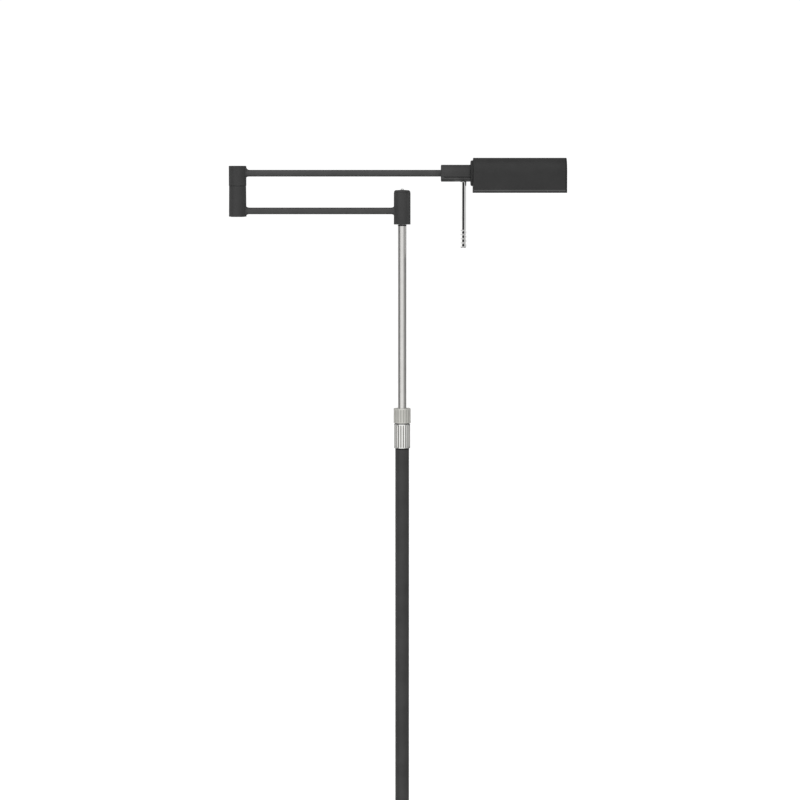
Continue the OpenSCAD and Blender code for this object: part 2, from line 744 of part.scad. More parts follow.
base_pad();
base_weight();
base_cover();
base_nut();
base_washer();
base_nipple();
cord_gland();
column_foot();
foot_insert();
outer_tube();
column_cable();
lock_barrel();
lock_collet();
lock_nut();
inner_tube();
slide_stop();
riser_cable();
hub_washer();
hub_spindle();
hub_thrust_washer();
hub_spring_washer();
hub_nut();
hub_cap();
cap_screw();
hub_body();
hub_bush();
hub_top_washer();
lower_arm();
lower_arm_cable();
elbow_base();
elbow_bottom_cap();
elbow_washer();
elbow_spindle();
elbow_thrust_washer();
elbow_spring_washer();
elbow_nut();
elbow_head();
elbow_bush();
elbow_top_cap();
upper_arm();
upper_arm_cable();
arm_end_ring();
neck();
neck_liner();
neck_plug();
collar();
shade();
shade_nut();
shade_end_cap();
end_cap_screws();
heat_sink();
led_board();
leds();
board_screws();
reflector();
diffuser();
head_wires();
handle_rod();
handle_grip();
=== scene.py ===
import json
import math

import bmesh
import bpy
from mathutils import Matrix, Vector


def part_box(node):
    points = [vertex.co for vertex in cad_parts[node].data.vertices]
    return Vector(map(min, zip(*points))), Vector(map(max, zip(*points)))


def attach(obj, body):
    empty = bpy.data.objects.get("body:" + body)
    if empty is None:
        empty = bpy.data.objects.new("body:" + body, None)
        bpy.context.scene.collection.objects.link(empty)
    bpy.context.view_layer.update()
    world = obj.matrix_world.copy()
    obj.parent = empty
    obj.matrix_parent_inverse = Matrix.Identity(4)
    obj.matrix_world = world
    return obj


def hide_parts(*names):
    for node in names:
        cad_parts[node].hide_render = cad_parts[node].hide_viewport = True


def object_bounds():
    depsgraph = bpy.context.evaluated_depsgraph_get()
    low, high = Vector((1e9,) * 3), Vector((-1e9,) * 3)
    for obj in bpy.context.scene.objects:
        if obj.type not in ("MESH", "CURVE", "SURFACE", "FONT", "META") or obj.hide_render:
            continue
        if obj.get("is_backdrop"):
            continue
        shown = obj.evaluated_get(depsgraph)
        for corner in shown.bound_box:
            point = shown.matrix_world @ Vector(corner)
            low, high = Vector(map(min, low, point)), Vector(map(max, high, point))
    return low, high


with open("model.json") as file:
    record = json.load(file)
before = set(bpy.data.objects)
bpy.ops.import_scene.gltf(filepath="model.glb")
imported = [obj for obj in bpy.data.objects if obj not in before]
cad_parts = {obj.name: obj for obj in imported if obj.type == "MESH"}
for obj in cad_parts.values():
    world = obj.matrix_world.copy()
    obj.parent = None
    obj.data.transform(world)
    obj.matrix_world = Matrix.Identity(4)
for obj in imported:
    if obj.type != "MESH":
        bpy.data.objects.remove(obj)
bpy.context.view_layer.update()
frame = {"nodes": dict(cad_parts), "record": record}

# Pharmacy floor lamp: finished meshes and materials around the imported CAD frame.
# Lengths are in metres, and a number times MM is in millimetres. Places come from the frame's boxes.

MM = 0.001
TAU = 2 * math.pi
ON_AXIS = 1e-7              # a smaller radius is a point on the axis
NOISE_RANGE = (0.3, 0.7)    # where nearly all of a noise's values lie
SHARP_DEG = 32              # edges sharper than this stay sharp
SEGMENTS = 96               # faces round a small tube or disc
BARREL_SEGMENTS = 128       # faces round the hub, the elbow, the neck and what is as thick
FIXED_GAP = 0.05 * MM       # between a bore and the fixed piece in it
SLIDING_GAP = 0.08 * MM     # between a bore and the piece that turns or slides in it
SHANK_HOLE = 5.05 * MM      # radius of the hole for the neck plug's shank
bodies_of = {n: body for body, nodes in frame["record"]["behaviour"]["bodies"].items() for n in nodes}
slots_of = {part["node"]: part["material_slot"] for part in frame["record"]["subparts"]}


# ---------------------------------------------------------------- materials

def new_material(name, colour, roughness, metallic=0.0):
    """A Principled material with its even values on the shader's own sockets."""
    material = bpy.data.materials.new(name)
    material.use_nodes = True
    shader = material.node_tree.nodes["Principled BSDF"]
    shader.inputs["Base Color"].default_value = (*colour, 1)
    shader.inputs["Roughness"].default_value = roughness
    shader.inputs["Metallic"].default_value = metallic
    return material, shader


def noise(material, scale, detail=3.0, stretch=(1, 1, 1)):
    """Noise in the piece's own coordinates, in waves per metre along each axis."""
    tree = material.node_tree
    place = tree.nodes.new("ShaderNodeTexCoord")
    mapping = tree.nodes.new("ShaderNodeMapping")
    mapping.inputs["Scale"].default_value = [scale * s for s in stretch]
    texture = tree.nodes.new("ShaderNodeTexNoise")
    texture.inputs["Scale"].default_value = 1.0
    texture.inputs["Detail"].default_value = detail
    tree.links.new(place.outputs["Object"], mapping.inputs["Vector"])
    tree.links.new(mapping.outputs["Vector"], texture.inputs["Vector"])
    return texture.outputs["Fac"]


def vary_colour(material, shader, fac, dark, light):
    """Base colour that wanders between two close tones."""
    ramp = material.node_tree.nodes.new("ShaderNodeValToRGB")
    for element, position, colour in zip(ramp.color_ramp.elements, NOISE_RANGE, (dark, light)):
        element.position = position
        element.color = (*colour, 1)
    material.node_tree.links.new(fac, ramp.inputs["Fac"])
    material.node_tree.links.new(ramp.outputs["Color"], shader.inputs["Base Color"])


def vary_roughness(material, shader, fac, low, high):
    """Roughness that wanders between low and high."""
    spread = material.node_tree.nodes.new("ShaderNodeMapRange")
    for socket, value in zip(("From Min", "From Max", "To Min", "To Max"), (*NOISE_RANGE, low, high)):
        spread.inputs[socket].default_value = value
    material.node_tree.links.new(fac, spread.inputs["Value"])
    material.node_tree.links.new(spread.outputs["Result"], shader.inputs["Roughness"])


def add_bump(material, shader, fac, depth, strength=0.5):
    """Fine relief of a given depth in metres."""
    bump = material.node_tree.nodes.new("ShaderNodeBump")
    bump.inputs["Strength"].default_value = strength
    bump.inputs["Distance"].default_value = depth
    material.node_tree.links.new(fac, bump.inputs["Height"])
    material.node_tree.links.new(bump.outputs["Normal"], shader.inputs["Normal"])


def black_paint(name, tone, specular, low, high):
    """Satin powder coat: fine orange peel, faint clouding and slightly polished patches."""
    clouds, patches, orange_peel = 55, 160, 1700
    material, shader = new_material(name, (tone, tone, tone), low)
    shader.inputs["Specular IOR Level"].default_value = specular
    vary_colour(material, shader, noise(material, clouds), [tone * 0.88] * 3, [tone * 1.12] * 3)
    vary_roughness(material, shader, noise(material, patches), low, high)
    add_bump(material, shader, noise(material, orange_peel, 2), 0.05 * MM, 0.3)
    return material


def metal(name, colour, low, high, grain, relief, metallic=1.0):
    """Bare or plated metal with polishing lines along grain, the stretch of its noise.
    A blasted matt plate scatters light as well, so its metallic share is lower."""
    clouds = 90
    material, shader = new_material(name, colour, low, metallic)
    dark = [c * 0.94 for c in colour]
    vary_colour(material, shader, noise(material, clouds), dark, colour)
    lines = noise(material, 1, 2, grain)
    vary_roughness(material, shader, lines, low, high)
    add_bump(material, shader, lines, relief, 0.3)
    return material


def plastic(name, dark, light, low, high, grain_scale, relief):
    """Moulded or painted surface with a fine even texture."""
    clouds, patches = 120, 300
    material, shader = new_material(name, light, low)
    vary_colour(material, shader, noise(material, clouds), dark, light)
    vary_roughness(material, shader, noise(material, patches), low, high)
    add_bump(material, shader, noise(material, grain_scale, 2), relief, 0.4)
    return material


def opal(name):
    """Opal acrylic: satin, lets light into its depth."""
    clouds, patches, grain = 60, 500, 2500
    material, shader = new_material(name, (0.93, 0.93, 0.9), 0.4)
    shader.inputs["Subsurface Weight"].default_value = 0.3
    shader.inputs["Subsurface Radius"].default_value = (3 * MM, 3 * MM, 2.8 * MM)
    vary_colour(material, shader, noise(material, clouds), (0.9, 0.9, 0.87), (0.95, 0.95, 0.92))
    vary_roughness(material, shader, noise(material, patches), 0.36, 0.46)
    add_bump(material, shader, noise(material, grain, 1), 0.04 * MM)
    return material


# Grain of polishing and drawing lines, in waves per metre along x, y and z
LENGTHWAYS = (2600, 2600, 14)
ALONG_X = (14, 2600, 2600)
EVEN = (900, 900, 900)
FINISHES = {
    "black_paint": (black_paint, 0.022, 0.25, 0.42, 0.5),
    "satin_nickel": (metal, (0.70, 0.69, 0.67), 0.17, 0.27, LENGTHWAYS, 0.012 * MM),
    "chrome": (metal, (0.86, 0.86, 0.85), 0.05, 0.09, EVEN, 0.004 * MM),
    "zinc_steel": (metal, (0.58, 0.59, 0.60), 0.28, 0.42, EVEN, 0.02 * MM),
    "cast_iron": (metal, (0.16, 0.16, 0.165), 0.55, 0.75, EVEN, 0.3 * MM),
    "pad_foam": (plastic, (0.012, 0.012, 0.012), (0.02, 0.02, 0.02), 0.85, 0.95, 900, 0.4 * MM),
    "white_nylon": (plastic, (0.72, 0.70, 0.63), (0.8, 0.78, 0.71), 0.35, 0.5, 900, 0.06 * MM),
    "black_nylon": (plastic, (0.012, 0.012, 0.013), (0.02, 0.02, 0.021), 0.4, 0.55, 1500, 0.08 * MM),
    "cable_jacket": (plastic, (0.015, 0.015, 0.015), (0.024, 0.024, 0.024), 0.45, 0.6, 700, 0.05 * MM),
    "wire_insulation": (plastic, (0.42, 0.03, 0.02), (0.5, 0.05, 0.03), 0.3, 0.4, 600, 0.03 * MM),
    "heat_sink_aluminium": (metal, (0.74, 0.75, 0.76), 0.3, 0.42, ALONG_X, 0.03 * MM),
    "board_white": (plastic, (0.78, 0.78, 0.75), (0.84, 0.84, 0.81), 0.25, 0.35, 1200, 0.03 * MM),
    "diode": (plastic, (0.85, 0.66, 0.16), (0.92, 0.78, 0.3), 0.15, 0.25, 1500, 0.02 * MM),
    "reflector_white": (plastic, (0.84, 0.84, 0.82), (0.9, 0.9, 0.88), 0.2, 0.3, 700, 0.02 * MM),
    "opal": (opal,),
}
MATERIALS = {name: make(name, *values) for name, (make, *values) in FINISHES.items()}
# Pieces whose finish differs a little from the rest of their slot. The tubes, barrels and neck, and the
# arms, take lighter copies of the black paint: painted light that makes them brighter than the shade; the
# arms' copy is glossier as well
lit_tube_paint = black_paint("lit_tube_paint", 0.036, 0.25, 0.42, 0.5)
lit_arm_paint = black_paint("lit_arm_paint", 0.039, 0.4, 0.36, 0.44)
SPECIAL = {
    # painted light: lighter copies of the black paint
    **dict.fromkeys(("outer_tube", "hub_body", "hub_cap", "elbow_base", "elbow_head", "neck"), lit_tube_paint),
    **dict.fromkeys(("lower_arm", "upper_arm"), lit_arm_paint),
    "lock_nut": metal("matt_nickel", (0.57, 0.565, 0.53), 0.4, 0.5, LENGTHWAYS, 0.02 * MM, 0.5),
    "lock_barrel": metal("barrel_chrome", (0.82, 0.82, 0.8), 0.07, 0.12, LENGTHWAYS, 0.006 * MM),
}
# Finishes of a few faces of a piece, which paint light and shade: a painted highlight on lips, painted
# shade on rims, in the floors of flutes, in recesses and in the handle's waists
# painted highlight: lighter paint where an edge would catch the light
highlight_paint = black_paint("highlight_paint", 0.06, 0.4, 0.36, 0.44)
# painted shade: near-black paint on rims, edges and the tube's top under the barrel
shadow_paint = black_paint("shadow_paint", 0.006, 0.2, 0.42, 0.5)
# painted shade in the floors of the barrel's flutes
barrel_groove_shade = metal("barrel_groove_shade", (0.37, 0.36, 0.34), 0.12, 0.2, LENGTHWAYS, 0.006 * MM)
# painted shade in the floors of the nut's flutes
nut_groove_shade = metal("nut_groove_shade", (0.4, 0.395, 0.365), 0.4, 0.5, LENGTHWAYS, 0.02 * MM, 0.5)
# painted shade: darker, rougher chrome for the handle's waists between the beads
waist_shade_chrome = metal("waist_shade_chrome", (0.66, 0.66, 0.65), 0.5, 0.6, EVEN, 0.03 * MM, 0.3)
# painted shade: dark plate in the recess under the nut and in the nut's own recess
recess_shade_plate = metal("recess_shade_plate", (0.14, 0.14, 0.135), 0.35, 0.5, EVEN, 0.01 * MM)


# ---------------------------------------------------------------- mesh tools

def rounded(corners, steps=5):
    """Outline through corners (u, v, radius), each inner corner rounded by an arc of that radius."""
    points = []
    for i, (u, v, radius) in enumerate(corners):
        here = Vector((u, v))
        if radius == 0 or i in (0, len(corners) - 1):
            points.append(here)
            continue
        back = (Vector(corners[i - 1][:2]) - here).normalized()
        ahead = (Vector(corners[i + 1][:2]) - here).normalized()
        half = back.angle(ahead) / 2
        centre = here + (back + ahead).normalized() * (radius / math.sin(half))
        start = here + back * (radius / math.tan(half)) - centre
        sweep = math.pi - 2 * half
        if start.x * ahead.y - start.y * ahead.x < 0:
            sweep = -sweep
        for k in range(steps + 1):
            a = sweep * k / steps
            points.append(centre + Vector((start.x * math.cos(a) - start.y * math.sin(a),
                                           start.x * math.sin(a) + start.y * math.cos(a))))
    return [(p.x, p.y) for p in points]


def mesh_object(name, bm, sharp_deg=SHARP_DEG):
    """Object from a bmesh, smooth but for edges sharper than sharp_deg."""
    bmesh.ops.recalc_face_normals(bm, faces=bm.faces)
    mesh = bpy.data.meshes.new(name)
    bm.to_mesh(mesh)
    bm.free()
    mesh.shade_smooth()
    mesh.set_sharp_from_angle(angle=math.radians(sharp_deg))
    piece = bpy.data.objects.new(name, mesh)
    bpy.context.scene.collection.objects.link(piece)
    return piece


def turned_bmesh(outline, place, segments=SEGMENTS, shape=None, closed=False):
    """Surface of revolution of (radius, height) points about place's Z axis.
    shape(radius, height, angle) may change a point's radius. closed joins the last ring to the first."""
    bm = bmesh.new()
    rings = []
    for r, h in outline:
        if r < ON_AXIS:
            rings.append([bm.verts.new(place @ Vector((0, 0, h)))])
            continue
        ring = []
        for k in range(segments):
            a = TAU * k / segments
            radius = shape(r, h, a) if shape else r
            ring.append(bm.verts.new(place @ Vector((radius * math.cos(a), radius * math.sin(a), h))))
        rings.append(ring)
    pairs = list(zip(rings, rings[1:]))
    if closed:
        pairs.append((rings[-1], rings[0]))
    for lower, upper in pairs:
        for k in range(segments):
            n = (k + 1) % segments
            corners = [ring[i % len(ring)] for ring, i in ((lower, k), (lower, n), (upper, n), (upper, k))]
            bm.faces.new(list(dict.fromkeys(corners)))
    return bm


def bridge(bm, rings):
    """Faces between each two neighbouring rings of equal count."""
    for a, b in zip(rings, rings[1:]):
        for j in range(len(a)):
            n = (j + 1) % len(a)
            bm.faces.new([a[j], a[n], b[n], b[j]])


def hexagon(outside, floor):
    """Radius rule for a six-sided socket: it lies within a radius and above a height."""
    def shape(r, h, angle):
        if r > outside or h < floor:
            return r
        return r / math.cos((angle + math.pi / 6) % (math.pi / 3) - math.pi / 6)
    return shape


def upright(x=0.0):
    """Place whose Z axis is the frame's, at x."""
    return Matrix.Translation((x, 0, 0))


def lengthways(x, z, y=0):
    """Place whose Z axis is the frame's +X, so that heights count along X."""
    return Matrix.Translation((x, y, z)) @ Matrix.Rotation(math.pi / 2, 4, "Y")


def cut(piece, tool):
    """Cuts the tool's solid out of the piece and removes the tool."""
    modifier = piece.modifiers.new("cut", "BOOLEAN")
    modifier.operation = "DIFFERENCE"
    modifier.solver = "EXACT"
    modifier.object = tool
    bpy.context.view_layer.update()
    evaluated = piece.evaluated_get(bpy.context.evaluated_depsgraph_get())
    mesh = bpy.data.meshes.new_from_object(evaluated)
    piece.modifiers.remove(modifier)
    piece.data = mesh
    mesh.shade_smooth()
    mesh.set_sharp_from_angle(angle=math.radians(SHARP_DEG))
    bpy.data.objects.remove(tool)
    return piece


def drill(piece, radius, start, end, place, segments=48):
    """Round hole in the piece along place's Z axis."""
    tool = turned_bmesh([(0, start), (radius, start), (radius, end), (0, end)], place, segments)
    return cut(piece, mesh_object("drill", tool))


def finish_of(node):
    """Material that a node shows."""
    return SPECIAL.get(node, MATERIALS[slots_of[node]])


def finish_piece(piece, node):
    """The piece stands for a CAD node, rides on its body and takes its finish."""
    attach(piece, bodies_of[node])
    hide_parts(node)
    piece.data.materials.clear()
    piece.data.materials.append(finish_of(node))
    return piece


def column_size(node):
    """Radius, lowest z, highest z and axis's x of an upright round node."""
    low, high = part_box(node)
    return (high.x - low.x) / 2, low.z, high.z, (high.x + low.x) / 2


def turned(node, outline, place, segments=SEGMENTS, shape=None, closed=False):
    """Finished piece of revolution that stands for a node."""
    piece = mesh_object(node + "_skin", turned_bmesh(outline, place, segments, shape, closed))
    return finish_piece(piece, node)


# ---------------------------------------------------------------- foot

def make_foot():
    """Cover with a rolled edge and a hole at the back, cord gland, grooved pad and ring round the tube."""
    radius, low, top, _ = column_size("base_cover")
    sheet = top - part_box("base_weight")[1].z
    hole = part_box("base_nipple")[1].x + FIXED_GAP
    edge = 5 * MM
    skin = rounded([
        (hole, top, 0), (radius, top, edge), (radius, low, 0.4 * MM), (radius - sheet, low, 0.4 * MM),
        (radius - sheet, top - sheet, edge - sheet), (hole, top - sheet, 0),
    ], 8)
    cover = mesh_object("base_cover_skin", turned_bmesh(skin, upright(), 160, closed=True))
    gland_low, gland_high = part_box("cord_gland")
    gland_z = (gland_low.z + gland_high.z) / 2
    outward = Matrix.Translation((0, gland_high.y, gland_z)) @ Matrix.Rotation(math.pi / 2, 4, "X")
    gland_hole = 4.55 * MM
    finish_piece(drill(cover, gland_hole, -5 * MM, 12 * MM, outward), "base_cover")

    flange = (gland_high.x - gland_low.x) / 2
    bore = 3.2 * MM
    body = 4.5 * MM
    thick = 2.2 * MM
    length = gland_high.y - gland_low.y
    ribs = [(body - 0.5 * MM * (k % 2), 5.2 * MM + k * 1.1 * MM, 0.1 * MM) for k in range(5)]
    gland = rounded([
        (bore, 0.7 * MM, 0), (bore + 0.7 * MM, 0, 0.2 * MM), (flange, 0, 0.7 * MM),
        (flange, thick, 0.3 * MM), (body, thick, 0), *ribs, (body, length - MM, 0),
        (4.1 * MM, length, 0), (bore, length, 0),
    ], 3)
    turned("cord_gland", gland, outward, 64, closed=True)

    pad, _, thick, _ = column_size("base_pad")
    grooves = [(pad - 8 * MM, 0, 0), (pad - 8.6 * MM, 0.5 * MM, 0), (pad - 10 * MM, 0.5 * MM, 0),
               (pad - 10.6 * MM, 0, 0)]
    turned("base_pad", rounded([
        (0, thick, 0), (pad, thick, 0.3 * MM), (pad, 0, 0.5 * MM), *grooves, (0, 0, 0),
    ]), upright(), BARREL_SEGMENTS)

    ring, low, top, _ = column_size("column_foot")
    tube = column_size("outer_tube")[0] + FIXED_GAP
    turned("column_foot", rounded([
        (tube, low, 0), (ring, low, 0), (ring, low + 3.2 * MM, 1.2 * MM),
        (tube + 6 * MM, low + 4.2 * MM, 4 * MM), (tube + 3.4 * MM, top, 1.4 * MM),
        (tube, top, 0.2 * MM), (tube, low + MM, 0),
    ], 7), upright(), closed=True)


# ---------------------------------------------------------------- column and lock

FLUTES = 18
FLOOR_POWER = 3.5           # the higher, the flatter a groove's floor


def fluted(radius, depth, low, high, share, run, crown=0.0):
    """Radius rule for flutes in the wall of a given radius. The grooves take share of the pitch to each
    side and run out at both ends. The crests are crowned: they fall by crown towards the grooves."""
    def shape(r, h, angle):
        if r < radius - 0.01 * MM or not low < h < high:
            return r
        end = min(h - low, high - h) / run
        fade = math.sqrt(max(0.0, 1 - (1 - min(1.0, end)) ** 2))
        wave = ((angle + math.pi / 2) * FLUTES / TAU) % 1.0
        away = abs(wave - 0.5)
        if away < share:
            return r - fade * (crown + depth * (1 - (away / share) ** FLOOR_POWER))
        return r - fade * crown * ((0.5 - away) / (0.5 - share)) ** 2
    return shape


def tone_faces(piece, finish, chosen):
    """The chosen faces of a piece take another finish."""
    piece.data.materials.append(finish)
    slot = len(piece.data.materials) - 1
    for face in piece.data.polygons:
        if chosen(face):
            face.material_index = slot


def shade_grooves(piece, finish, radius, depth, low, high):
    """The bottoms of the flutes take a darker finish: painted shade in the grooves."""
    def deep(face):
        centre = face.center
        return low < centre.z < high and radius - depth * 1.1 < centre.xy.length < radius - depth * 0.4
    tone_faces(piece, finish, deep)


def stations(low, high, run, count=8):
    """Heights between two ends, close together where the flutes run out."""
    close = [run * (1 - math.cos(math.pi / 2 * k / count)) for k in range(1, count + 1)]
    return [low + c for c in close] + [high - c for c in reversed(close)]


def make_column():
    """Outer and inner tube, and the fluted lock barrel and nut between them."""
    radius, low, top, _ = column_size("outer_tube")
    bore = column_size("slide_stop")[0] + SLIDING_GAP
    rim = column_size("lock_barrel")[1] - 1.5 * MM
    tube = turned("outer_tube", rounded([
        (radius, low, 0), (radius, rim, 0), (radius, top, 0.2 * MM), (bore, top, 0.2 * MM), (bore, low, 0),
    ]), upright(), closed=True)
    # painted shadow: the tube's top just under the barrel is near black
    tone_faces(tube, shadow_paint, lambda face: face.center.z > rim)

    radius, low, top, _ = column_size("inner_tube")
    bore = radius - MM
    turned("inner_tube", rounded([
        (radius, low, 0), (radius, top, 0.15 * MM), (bore, top, 0.1 * MM), (bore, low, 0),
    ]), upright(), closed=True)

    socket = column_size("outer_tube")[0] + FIXED_GAP
    radius, low, top, _ = column_size("lock_barrel")
    shoulder = column_size("lock_nut")[1] - 0.4 * MM
    spigot = radius - 1.55 * MM
    relief = radius - 1.2 * MM
    bore = column_size("lock_collet")[0] - 1.15 * MM
    seat = low + 14 * MM
    depth, crown, share = 0.6 * MM, 0.28 * MM, 0.17
    groove_low, groove_high, run = low + 0.9 * MM, shoulder - 1.3 * MM, 1.6 * MM
    body = [(radius, h, 0) for h in stations(groove_low, groove_high, run)]
    flutes = fluted(radius, depth, groove_low, groove_high, share, run, crown)
    barrel = turned("lock_barrel", rounded([
        (socket, low, 0), (radius - 0.1 * MM, low, 0.35 * MM), (radius, low + 0.5 * MM, 0), *body,
        (radius, shoulder - 0.7 * MM, 0), (radius - 0.1 * MM, shoulder - 0.2 * MM, 0.3 * MM),
        (relief, shoulder - 0.2 * MM, 0), (relief, shoulder, 0), (spigot, shoulder, 0),
        (spigot, top, 0.3 * MM), (bore, top, 0), (bore, seat, 0), (socket, seat, 0),
    ]), upright(), FLUTES * 24, flutes, closed=True)
    # painted shade in the barrel's flute floors
    shade_grooves(barrel, barrel_groove_shade, radius, depth + crown, groove_low, groove_high)
    # painted shadow in the recess under the nut
    tone_faces(barrel, recess_shade_plate, lambda face: face.center.z > shoulder - 0.19 * MM)

    radius, low, top, _ = column_size("lock_nut")
    inner = column_size("inner_tube")[0] + 0.3 * MM
    ceiling = column_size("lock_collet")[2] + 0.5 * MM
    thread = spigot + SLIDING_GAP
    skirt = radius - 1.3 * MM
    recess = low + 0.6 * MM
    depth, share = 0.3 * MM, 0.25
    groove_low, groove_high, run = low + 1.6 * MM, top - 1.3 * MM, 1.2 * MM
    body = [(radius, h, 0) for h in stations(groove_low, groove_high, run)]
    flutes = fluted(radius, depth, groove_low, groove_high, share, run)
    nut = turned("lock_nut", rounded([
        (thread, low, 0), (skirt, low, 0.1 * MM), (skirt, recess, 0),
        (radius, recess, 0.3 * MM), (radius, low + 1.5 * MM, 0), *body, (radius, top - 1.2 * MM, 0),
        (radius, top, 0.6 * MM), (inner, top, 0.3 * MM), (inner, ceiling, 0), (thread, ceiling, 0),
    ]), upright(), FLUTES * 20, flutes, closed=True)
    # painted shade in the nut's flute floors
    shade_grooves(nut, nut_groove_shade, radius, depth, groove_low, groove_high)
    # painted shade in the nut's lower recess
    tone_faces(nut, recess_shade_plate, lambda face: face.center.z < recess + 0.01 * MM)


# ---------------------------------------------------------------- hub and elbow

CAVITY = 7.5 * MM           # radius of the barrels' cavities
PIVOT = 3.95 * MM           # radius of the spindles


def arm_heights():
    """Heights of the lower and the upper arm's axis."""
    return [sum(p.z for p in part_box(node)) / 2 for node in ("lower_arm_cable", "upper_arm_cable")]


def make_barrel(node, side, z, ends, shelf, bore):
    """Turned barrel: a bearing bore at one end, a cavity at the other, and a hole for the arm on one side
    at height z. ends are the heights of those two ends, and the cavity begins at the shelf."""
    radius, _, _, x = column_size(node)
    arm_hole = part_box("lower_arm_cable")[1].y + 2.05 * MM
    bearing_end, open_end = ends
    wall = rounded([
        (bore, bearing_end, 0), (radius, bearing_end, 0.15 * MM), (radius, open_end, 0.35 * MM),
        (CAVITY, open_end, 0.15 * MM), (CAVITY, shelf, 0), (bore, shelf, 0),
    ])
    barrel = mesh_object(node + "_skin", turned_bmesh(wall, upright(x), BARREL_SEGMENTS, closed=True))
    sideways = Matrix.Translation((x, 0, z)) @ Matrix.Rotation(side * math.pi / 2, 4, "Y")
    finish_piece(drill(barrel, arm_hole, 3 * MM, 13 * MM, sideways), node)


def make_barrels():
    """Hub and elbow: three barrels with their caps, the hub cap's screw and the washers in the seams."""
    lower_z, upper_z = arm_heights()
    _, low, top, _ = column_size("hub_body")
    make_barrel("hub_body", -1, lower_z, (low, top), low + 9.7 * MM, PIVOT + SLIDING_GAP)

    radius, boss, crown, _ = column_size("hub_cap")
    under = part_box("hub_top_washer")[1].z + 0.1 * MM
    hole = 1.55 * MM
    turned("hub_cap", rounded([
        (hole, boss, 0), (4 * MM, boss, 0), (4 * MM, under, 0), (radius - 0.1 * MM, under, 0.2 * MM),
        (radius, crown - 0.4 * MM, 2.8 * MM), (2.6 * MM, crown, 0.5 * MM), (hole, crown - 0.1 * MM, 0),
    ], 9), upright(), BARREL_SEGMENTS, closed=True)

    head, tip, top, _ = column_size("cap_screw")
    shank = 1.5 * MM
    turned("cap_screw", rounded([
        (0, tip, 0), (shank, tip, 0.3 * MM), (shank, crown, 0), (head, crown, 0.1 * MM),
        (head, crown + 0.5 * MM, 0.2 * MM), (1.25 * MM, top - 0.05 * MM, 0.3 * MM),
        (1.1 * MM, top, 0.05 * MM), (0.95 * MM, crown + 0.2 * MM, 0), (0, crown + 0.1 * MM, 0),
    ]), upright(), 60, hexagon(1.15 * MM, crown))

    _, low, split, _ = column_size("elbow_base")
    make_barrel("elbow_base", 1, lower_z, (split, low), low + 14.5 * MM, PIVOT + FIXED_GAP)
    _, low, top, _ = column_size("elbow_head")
    bush_seat = 5.55 * MM
    make_barrel("elbow_head", 1, upper_z, (low, top), low + 4.6 * MM, bush_seat)

    for node, face in (("elbow_bottom_cap", -1), ("elbow_top_cap", 1)):
        radius, low, top, x = column_size(node)
        outer, inner = (top, low) if face > 0 else (low, top)
        recess = outer - face * 0.25 * MM
        turned(node, rounded([
            (0, inner, 0), (radius, inner, 0.1 * MM), (radius, outer, 0.35 * MM),
            (radius - 2 * MM, outer, 0.2 * MM), (radius - 2.6 * MM, recess, 0.2 * MM), (0, recess, 0),
        ]), upright(x))

    make_seam_washer("hub_washer", 4 * MM, column_size("hub_washer")[2])
    make_seam_washer("hub_top_washer", CAVITY, under)
    make_seam_washer("elbow_washer", 4 * MM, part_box("elbow_head")[0].z)


def make_seam_washer(node, bore, face):
    """Plain washer with softened edges that reaches to just under the face that turns on it."""
    radius, low, _, x = column_size(node)
    top = face - 0.01 * MM
    edge = (top - low) / 5
    turned(node, rounded([(bore, low, 0), (radius, low, edge), (radius, top, edge), (bore, top, 0)]),
           upright(x), closed=True)


# ---------------------------------------------------------------- arms

def weld_rings(x_axis, side, barrel, lift, arm, z, segments):
    """Rings of a hollow weld fillet: the first lies on the round barrel, the last on the arm.
    It climbs the barrel by lift more along the arm's top."""
    length = 3.6 * MM
    width = 1.8 * MM
    sink = 0.12 * MM
    ripple_height = 0.07 * MM
    ripples = 13
    rings = []
    steps = 10
    for k in range(steps + 1):
        t = k / steps
        ring = []
        for j in range(segments):
            a = TAU * j / segments
            spread = width + lift * max(0.0, math.sin(a)) ** 3
            radius = arm + spread * (1 - math.sin(t * math.pi / 2))
            ripple = ripple_height * math.sin(ripples * a) * math.sin(t * math.pi)
            y = (radius + ripple) * math.cos(a)
            wall = math.sqrt(barrel ** 2 - min(abs(y), barrel) ** 2) - sink
            reach = wall + length * (1 - math.cos(t * math.pi / 2))
            ring.append(Vector((x_axis + side * reach, y, z + (radius + ripple) * math.sin(a))))
        rings.append(ring)
    return rings


def circle_ring(x, radius, z, segments):
    """Ring of points round an arm's axis at x."""
    return [Vector((x, radius * math.cos(TAU * j / segments), z + radius * math.sin(TAU * j / segments)))
            for j in range(segments)]


def make_arm(node, z, ends):
    """Arm tube with a weld fillet at each barrel.
    ends: (x axis, barrel radius, the weld's lift) or (x end, None, None) for a cut end."""
    segments = 64
    arm = 4 * MM
    bore = 3 * MM
    (x_left, barrel_left, lift_left), (x_right, barrel_right, lift_right) = ends
    root = 7.6 * MM
    left = x_left + root
    right = x_right - root if barrel_right else x_right
    rings = [circle_ring(left, bore, z, segments), circle_ring(left, arm, z, segments)]
    rings += weld_rings(x_left, 1, barrel_left, lift_left, arm, z, segments)
    if barrel_right:
        rings += list(reversed(weld_rings(x_right, -1, barrel_right, lift_right, arm, z, segments)))
        rings.append(circle_ring(right, arm, z, segments))
    else:
        rings.append(circle_ring(right - 0.4 * MM, arm, z, segments))
        rings.append(circle_ring(right, arm - 0.3 * MM, z, segments))
    rings.append(circle_ring(right, bore, z, segments))
    bm = bmesh.new()
    made = [[bm.verts.new(p) for p in ring] for ring in rings]
    bridge(bm, made + made[:1])
    finish_piece(mesh_object(node + "_skin", bm), node)


